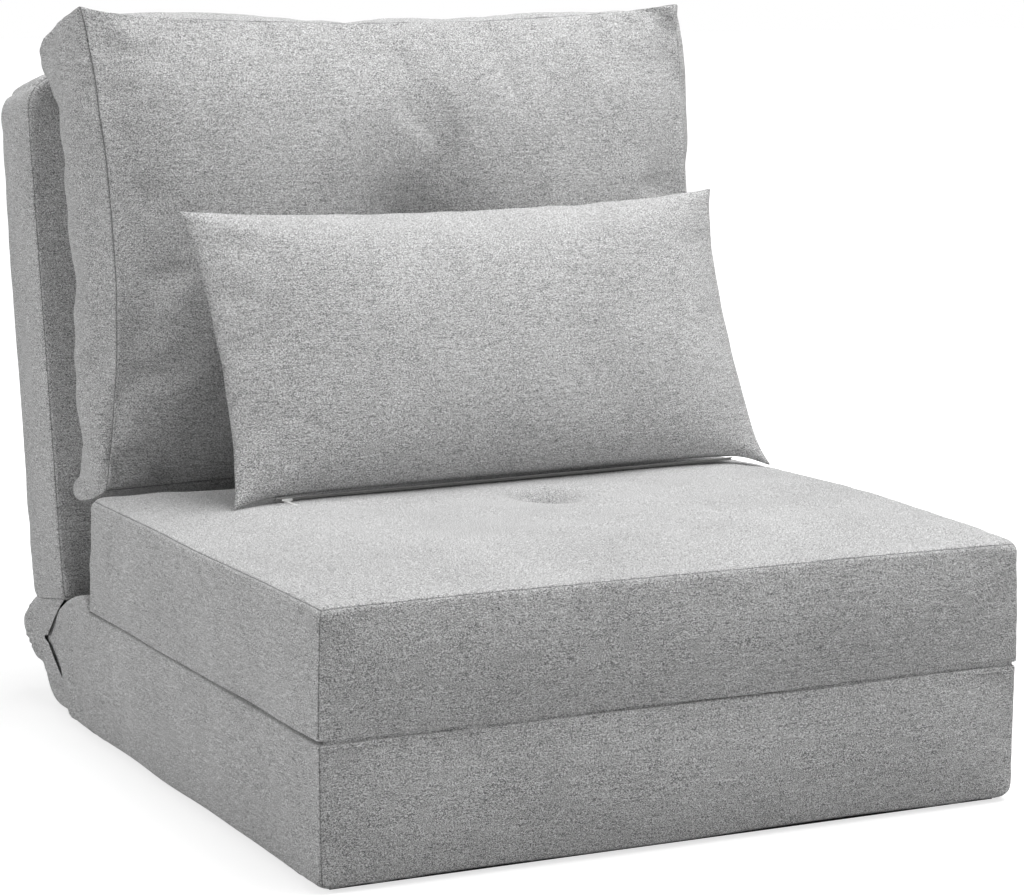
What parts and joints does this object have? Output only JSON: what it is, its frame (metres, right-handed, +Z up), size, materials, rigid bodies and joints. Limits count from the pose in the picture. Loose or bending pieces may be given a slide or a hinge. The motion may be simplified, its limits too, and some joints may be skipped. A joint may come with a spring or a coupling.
{
  "type": "fold-out floor recliner chair",
  "caption": "Low armless floor chair in grey cloth: seat block turns over its front edge to a bed, ratchet backrest reclines, with a loose back cushion and lumbar pillow.",
  "frame": {"origin": "centre of the base block's underside, on the floor", "axes": "+Z up, -Y towards the front of the seat, +X to the right of someone who looks at the front"},
  "size_m": [0.7, 0.8905, 0.7289],
  "materials": {
    "grey_cloth": "heathered linen-look weave",
    "foam": "open-cell foam",
    "fibre_filling": "loose fibre",
    "non_slip_cloth": "dotted non-woven",
    "tie_thread": "twisted thread",
    "backing_felt": "felt",
    "zipper_tape": "woven tape with coil",
    "zipper_white": "white enamel",
    "frame_paint": "black powder coat",
    "hinge_steel": "zinc plated"
  },
  "bodies": {
    "base": {"base_cover": "grey_cloth", "base_foam": "foam", "base_frame": "frame_paint", "base_bottom_cloth": "non_slip_cloth", "base_hinge_bolts": "hinge_steel", "hinge_boot": "grey_cloth", "flip_hinge_tape": "grey_cloth", "left_hinge_flap": "grey_cloth", "right_hinge_flap": "grey_cloth", "left_hinge_base_plate": "hinge_steel", "left_hinge_pin": "hinge_steel", "left_pawl_pin": "hinge_steel", "left_pawl_spring": "hinge_steel", "right_hinge_base_plate": "hinge_steel", "right_hinge_pin": "hinge_steel", "right_pawl_pin": "hinge_steel", "right_pawl_spring": "hinge_steel"},
    "backrest": {"backrest_cover": "grey_cloth", "backrest_front_foam": "foam", "backrest_rear_foam": "foam", "backrest_frame": "frame_paint", "backrest_crossbar": "frame_paint", "backrest_hinge_bolts": "hinge_steel", "left_hinge_arm": "hinge_steel", "right_hinge_arm": "hinge_steel"},
    "left_pawl": {"left_pawl": "hinge_steel"},
    "right_pawl": {"right_pawl": "hinge_steel"},
    "seat": {"seat_cover": "grey_cloth", "seat_foam": "foam", "seat_tuft_tie": "tie_thread", "seat_tuft_backing": "backing_felt"},
    "back_cushion": {"back_cushion_cover": "grey_cloth", "back_cushion_filling": "fibre_filling", "back_cushion_tuft_tie": "tie_thread", "back_cushion_tuft_backing": "backing_felt"},
    "lumbar_pillow": {"lumbar_pillow_cover": "grey_cloth", "lumbar_pillow_filling": "fibre_filling", "pillow_zipper": "zipper_tape"},
    "zipper_slider": {"pillow_zipper_slider": "zipper_white"},
    "zipper_pull": {"pillow_zipper_pull": "zipper_white"}
  },
  "joints": [
    {"name": "backrest_recline", "type": "hinge", "parent": "base", "child": "backrest", "pos_m": [0, 0.404, 0.058], "axis": [-1, 0, 0], "range_deg": [0, 80.6], "deforming": ["hinge_boot"]},
    {"name": "seat_flip", "type": "hinge", "parent": "base", "child": "seat", "pos_m": [0, -0.3384, 0.13025], "axis": [1, 0, 0], "range_deg": [0, 180], "deforming": ["flip_hinge_tape"]},
    {"name": "back_cushion_settle", "type": "slide", "parent": "backrest", "child": "back_cushion", "axis": [0, 0.1633, 0.9866], "range_m": [-0.105, 0]},
    {"name": "lumbar_pillow_carry", "type": "hinge", "parent": "seat", "child": "lumbar_pillow", "pos_m": [0, 0.271, 0.2562], "axis": [1, 0, 0], "range_deg": [-180, 0]},
    {"name": "zipper_slide", "type": "slide", "parent": "lumbar_pillow", "child": "zipper_slider", "axis": [0.998, 0.0628, 0], "range_m": [0, 0.497]},
    {"name": "zipper_pull_swing", "type": "hinge", "parent": "zipper_slider", "child": "zipper_pull", "pos_m": [-0.21198, 0.07499, 0.26103], "axis": [-0.998, -0.0628, 0], "range_deg": [0, 45]},
    {"name": "left_pawl_lift", "type": "hinge", "parent": "base", "child": "left_pawl", "pos_m": [-0.2928, 0.34798, 0.07301], "axis": [-1, 0, 0], "range_deg": [0, 32.5], "deforming": ["left_pawl_spring"]},
    {"name": "right_pawl_lift", "type": "hinge", "parent": "base", "child": "right_pawl", "pos_m": [0.2928, 0.34798, 0.07301], "axis": [-1, 0, 0], "range_deg": [0, 32.5], "deforming": ["right_pawl_spring"]}
  ],
  "couplings": [
    {"joint": "left_pawl_lift", "follows": "backrest_recline", "ratio": 0.4},
    {"joint": "right_pawl_lift", "follows": "backrest_recline", "ratio": 0.4},
    {"joint": "back_cushion_settle", "follows": "seat_flip", "m_per_rad": -0.033104},
    {"joint": "lumbar_pillow_carry", "follows": "seat_flip", "ratio": -1}
  ]
}
